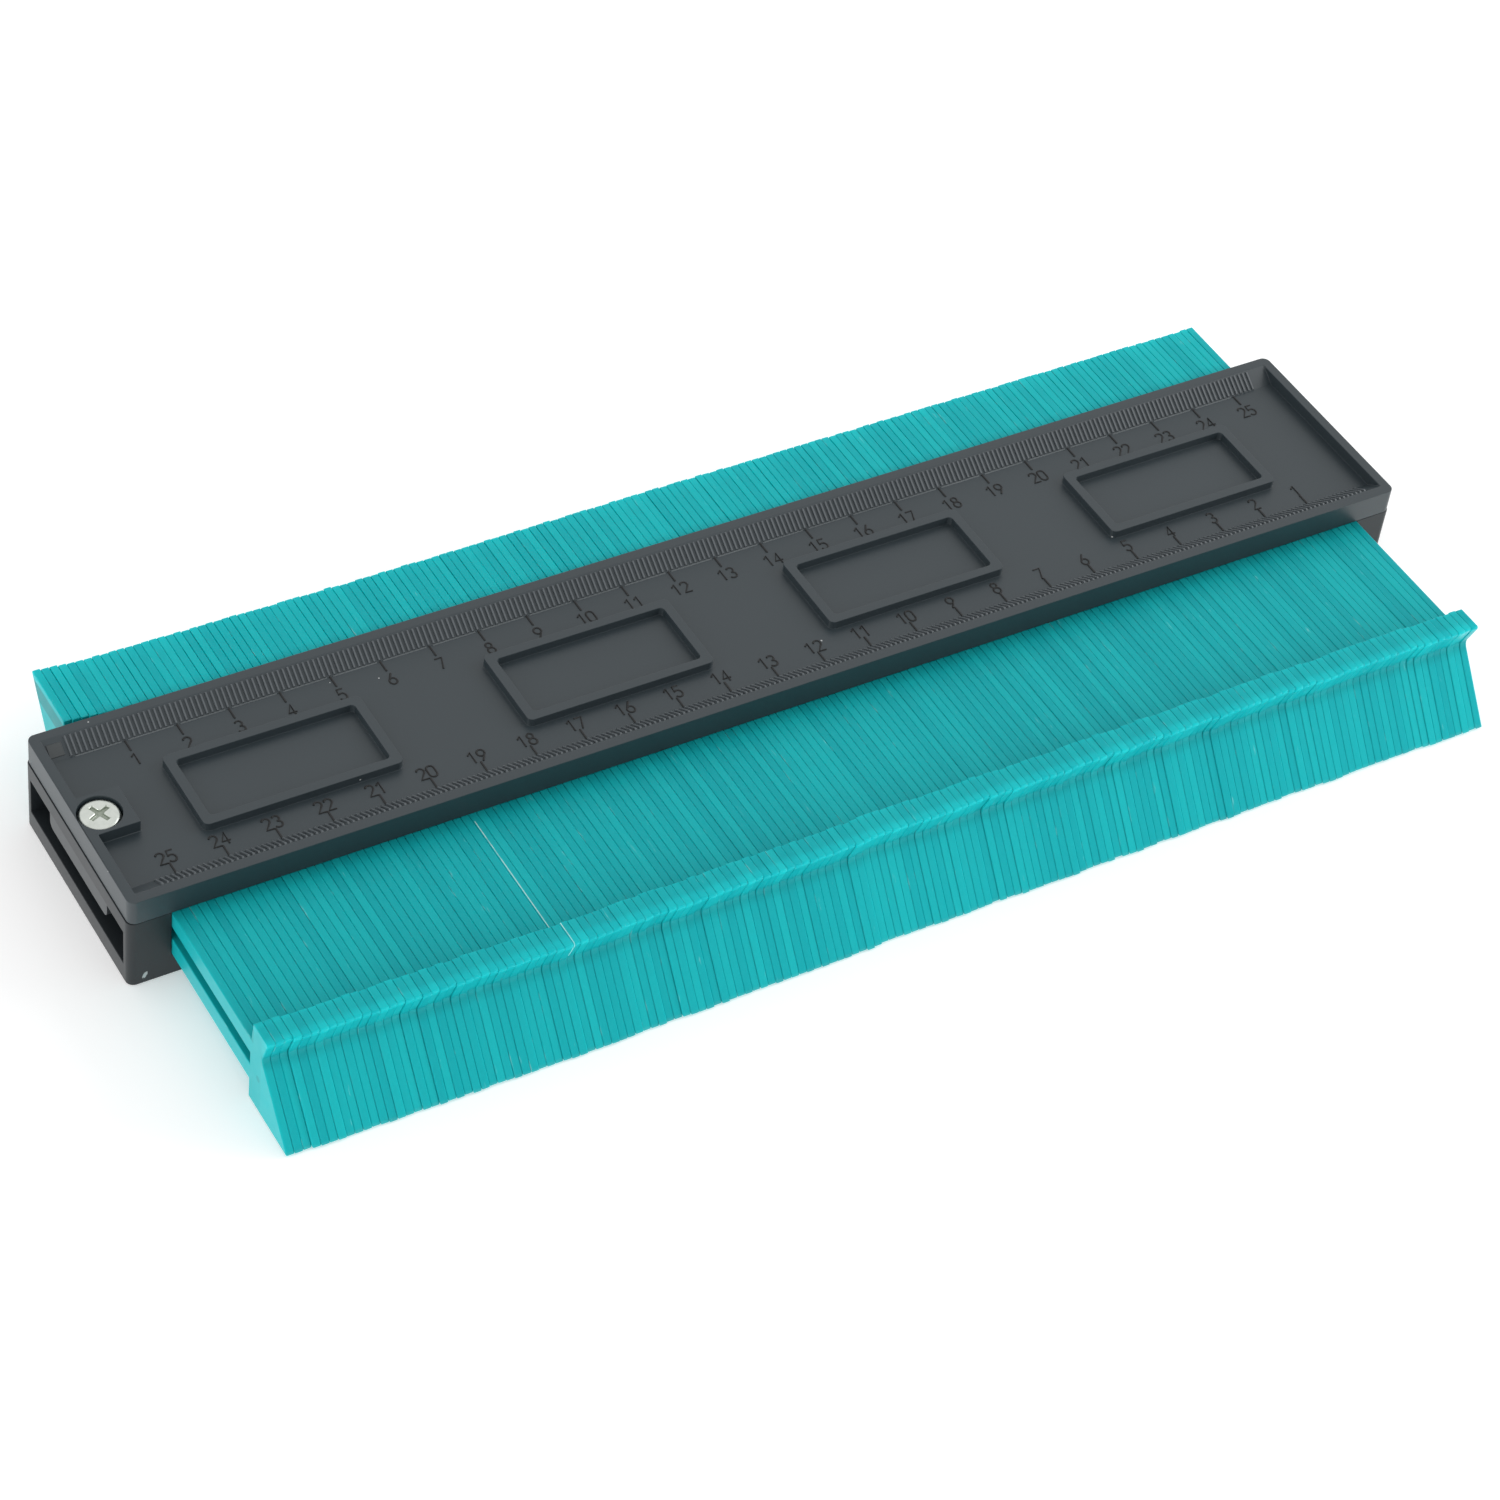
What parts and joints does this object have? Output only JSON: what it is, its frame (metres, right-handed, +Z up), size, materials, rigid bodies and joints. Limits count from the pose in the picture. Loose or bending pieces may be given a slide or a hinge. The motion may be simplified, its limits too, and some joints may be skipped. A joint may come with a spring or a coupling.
{
  "type": "contour gauge",
  "caption": "Profile copying gauge: a row of thin plastic leaves with hooked heads slides through a ruled plastic body on a flat guide bar, to take the outline of a surface.",
  "frame": {"origin": "centre of the base's underside, on its centre rib", "axes": "+X along the rule, to the right as pictured; +Y towards the plain leaf ends; +Z up through the ruled cover"},
  "size_m": [0.2682, 0.1072, 0.0205],
  "materials": {
    "body_plastic": "satin moulded dark grey",
    "bar_plastic": "satin moulded grey",
    "zinc_steel": "bright zinc plated",
    "leaf_plastic": "satin moulded teal"
  },
  "bodies": {
    "body": {"base_tray": "body_plastic", "top_cover": "body_plastic", "guide_bar": "bar_plastic", "cover_screw": "zinc_steel"},
    "leaves_01_slider": {"leaves_01": "leaf_plastic"},
    "leaves_02_slider": {"leaves_02": "leaf_plastic"},
    "leaves_03_slider": {"leaves_03": "leaf_plastic"},
    "leaves_04_slider": {"leaves_04": "leaf_plastic"},
    "leaves_05_slider": {"leaves_05": "leaf_plastic"},
    "leaves_06_slider": {"leaves_06": "leaf_plastic"},
    "leaves_07_slider": {"leaves_07": "leaf_plastic"},
    "leaves_08_slider": {"leaves_08": "leaf_plastic"},
    "leaves_09_slider": {"leaves_09": "leaf_plastic"},
    "leaves_10_slider": {"leaves_10": "leaf_plastic"},
    "leaves_11_slider": {"leaves_11": "leaf_plastic"},
    "leaves_12_slider": {"leaves_12": "leaf_plastic"},
    "leaves_13_slider": {"leaves_13": "leaf_plastic"},
    "leaves_14_slider": {"leaves_14": "leaf_plastic"},
    "leaves_15_slider": {"leaves_15": "leaf_plastic"},
    "leaves_16_slider": {"leaves_16": "leaf_plastic"},
    "leaves_17_slider": {"leaves_17": "leaf_plastic"},
    "leaves_18_slider": {"leaves_18": "leaf_plastic"},
    "leaves_19_slider": {"leaves_19": "leaf_plastic"},
    "leaves_20_slider": {"leaves_20": "leaf_plastic"},
    "leaves_21_slider": {"leaves_21": "leaf_plastic"},
    "leaves_22_slider": {"leaves_22": "leaf_plastic"},
    "leaves_23_slider": {"leaves_23": "leaf_plastic"},
    "leaves_24_slider": {"leaves_24": "leaf_plastic"},
    "leaves_25_slider": {"leaves_25": "leaf_plastic"},
    "leaves_26_slider": {"leaves_26": "leaf_plastic"},
    "leaves_27_slider": {"leaves_27": "leaf_plastic"},
    "leaves_28_slider": {"leaves_28": "leaf_plastic"},
    "leaves_29_slider": {"leaves_29": "leaf_plastic"},
    "leaves_30_slider": {"leaves_30": "leaf_plastic"},
    "leaves_31_slider": {"leaves_31": "leaf_plastic"},
    "leaves_32_slider": {"leaves_32": "leaf_plastic"},
    "leaves_33_slider": {"leaves_33": "leaf_plastic"},
    "leaves_34_slider": {"leaves_34": "leaf_plastic"},
    "leaves_35_slider": {"leaves_35": "leaf_plastic"},
    "leaves_36_slider": {"leaves_36": "leaf_plastic"},
    "leaves_37_slider": {"leaves_37": "leaf_plastic"},
    "leaves_38_slider": {"leaves_38": "leaf_plastic"},
    "leaves_39_slider": {"leaves_39": "leaf_plastic"},
    "leaves_40_slider": {"leaves_40": "leaf_plastic"}
  },
  "joints": [
    {"name": "leaves_01_slide", "type": "slide", "parent": "body", "child": "leaves_01_slider", "axis": [0, 1, 0], "range_m": [-0.00111, 0.03]},
    {"name": "leaves_02_slide", "type": "slide", "parent": "body", "child": "leaves_02_slider", "axis": [0, 1, 0], "range_m": [-0.00071, 0.0308]},
    {"name": "leaves_03_slide", "type": "slide", "parent": "body", "child": "leaves_03_slider", "axis": [0, 1, 0], "range_m": [-0.00057, 0.031]},
    {"name": "leaves_04_slide", "type": "slide", "parent": "body", "child": "leaves_04_slider", "axis": [0, 1, 0], "range_m": [-0.00056, 0.0311]},
    {"name": "leaves_05_slide", "type": "slide", "parent": "body", "child": "leaves_05_slider", "axis": [0, 1, 0], "range_m": [-0.00045, 0.0311]},
    {"name": "leaves_06_slide", "type": "slide", "parent": "body", "child": "leaves_06_slider", "axis": [0, 1, 0], "range_m": [-0.00038, 0.0312]},
    {"name": "leaves_07_slide", "type": "slide", "parent": "body", "child": "leaves_07_slider", "axis": [0, 1, 0], "range_m": [-0.00034, 0.0312]},
    {"name": "leaves_08_slide", "type": "slide", "parent": "body", "child": "leaves_08_slider", "axis": [0, 1, 0], "range_m": [-0.00025, 0.0314]},
    {"name": "leaves_09_slide", "type": "slide", "parent": "body", "child": "leaves_09_slider", "axis": [0, 1, 0], "range_m": [-0.00021, 0.0313]},
    {"name": "leaves_10_slide", "type": "slide", "parent": "body", "child": "leaves_10_slider", "axis": [0, 1, 0], "range_m": [-0.00009, 0.0314]},
    {"name": "leaves_11_slide", "type": "slide", "parent": "body", "child": "leaves_11_slider", "axis": [0, 1, 0], "range_m": [-0.00011, 0.0314]},
    {"name": "leaves_12_slide", "type": "slide", "parent": "body", "child": "leaves_12_slider", "axis": [0, 1, 0], "range_m": [-0.00014, 0.0314]},
    {"name": "leaves_13_slide", "type": "slide", "parent": "body", "child": "leaves_13_slider", "axis": [0, 1, 0], "range_m": [-0.00012, 0.0315]},
    {"name": "leaves_14_slide", "type": "slide", "parent": "body", "child": "leaves_14_slider", "axis": [0, 1, 0], "range_m": [-0.00016, 0.0314]},
    {"name": "leaves_15_slide", "type": "slide", "parent": "body", "child": "leaves_15_slider", "axis": [0, 1, 0], "range_m": [-0.00024, 0.0313]},
    {"name": "leaves_16_slide", "type": "slide", "parent": "body", "child": "leaves_16_slider", "axis": [0, 1, 0], "range_m": [-0.00028, 0.0313]},
    {"name": "leaves_17_slide", "type": "slide", "parent": "body", "child": "leaves_17_slider", "axis": [0, 1, 0], "range_m": [-0.00034, 0.0312]},
    {"name": "leaves_18_slide", "type": "slide", "parent": "body", "child": "leaves_18_slider", "axis": [0, 1, 0], "range_m": [-0.00049, 0.0312]},
    {"name": "leaves_19_slide", "type": "slide", "parent": "body", "child": "leaves_19_slider", "axis": [0, 1, 0], "range_m": [-0.00038, 0.0311]},
    {"name": "leaves_20_slide", "type": "slide", "parent": "body", "child": "leaves_20_slider", "axis": [0, 1, 0], "range_m": [-0.0005, 0.0311]},
    {"name": "leaves_21_slide", "type": "slide", "parent": "body", "child": "leaves_21_slider", "axis": [0, 1, 0], "range_m": [-0.00048, 0.0311]},
    {"name": "leaves_22_slide", "type": "slide", "parent": "body", "child": "leaves_22_slider", "axis": [0, 1, 0], "range_m": [-0.00045, 0.0311]},
    {"name": "leaves_23_slide", "type": "slide", "parent": "body", "child": "leaves_23_slider", "axis": [0, 1, 0], "range_m": [-0.00048, 0.0311]},
    {"name": "leaves_24_slide", "type": "slide", "parent": "body", "child": "leaves_24_slider", "axis": [0, 1, 0], "range_m": [-0.00048, 0.0312]},
    {"name": "leaves_25_slide", "type": "slide", "parent": "body", "child": "leaves_25_slider", "axis": [0, 1, 0], "range_m": [-0.00053, 0.0311]},
    {"name": "leaves_26_slide", "type": "slide", "parent": "body", "child": "leaves_26_slider", "axis": [0, 1, 0], "range_m": [-0.00055, 0.031]},
    {"name": "leaves_27_slide", "type": "slide", "parent": "body", "child": "leaves_27_slider", "axis": [0, 1, 0], "range_m": [-0.00044, 0.0311]},
    {"name": "leaves_28_slide", "type": "slide", "parent": "body", "child": "leaves_28_slider", "axis": [0, 1, 0], "range_m": [-0.00048, 0.031]},
    {"name": "leaves_29_slide", "type": "slide", "parent": "body", "child": "leaves_29_slider", "axis": [0, 1, 0], "range_m": [-0.00048, 0.0311]},
    {"name": "leaves_30_slide", "type": "slide", "parent": "body", "child": "leaves_30_slider", "axis": [0, 1, 0], "range_m": [-0.00054, 0.0311]},
    {"name": "leaves_31_slide", "type": "slide", "parent": "body", "child": "leaves_31_slider", "axis": [0, 1, 0], "range_m": [-0.00044, 0.0311]},
    {"name": "leaves_32_slide", "type": "slide", "parent": "body", "child": "leaves_32_slider", "axis": [0, 1, 0], "range_m": [-0.00049, 0.0311]},
    {"name": "leaves_33_slide", "type": "slide", "parent": "body", "child": "leaves_33_slider", "axis": [0, 1, 0], "range_m": [-0.0005, 0.031]},
    {"name": "leaves_34_slide", "type": "slide", "parent": "body", "child": "leaves_34_slider", "axis": [0, 1, 0], "range_m": [-0.00058, 0.031]},
    {"name": "leaves_35_slide", "type": "slide", "parent": "body", "child": "leaves_35_slider", "axis": [0, 1, 0], "range_m": [-0.00047, 0.031]},
    {"name": "leaves_36_slide", "type": "slide", "parent": "body", "child": "leaves_36_slider", "axis": [0, 1, 0], "range_m": [-0.00052, 0.0311]},
    {"name": "leaves_37_slide", "type": "slide", "parent": "body", "child": "leaves_37_slider", "axis": [0, 1, 0], "range_m": [-0.00056, 0.0311]},
    {"name": "leaves_38_slide", "type": "slide", "parent": "body", "child": "leaves_38_slider", "axis": [0, 1, 0], "range_m": [-0.00051, 0.031]},
    {"name": "leaves_39_slide", "type": "slide", "parent": "body", "child": "leaves_39_slider", "axis": [0, 1, 0], "range_m": [-0.00044, 0.0311]},
    {"name": "leaves_40_slide", "type": "slide", "parent": "body", "child": "leaves_40_slider", "axis": [0, 1, 0], "range_m": [-0.00044, 0.031]}
  ]
}
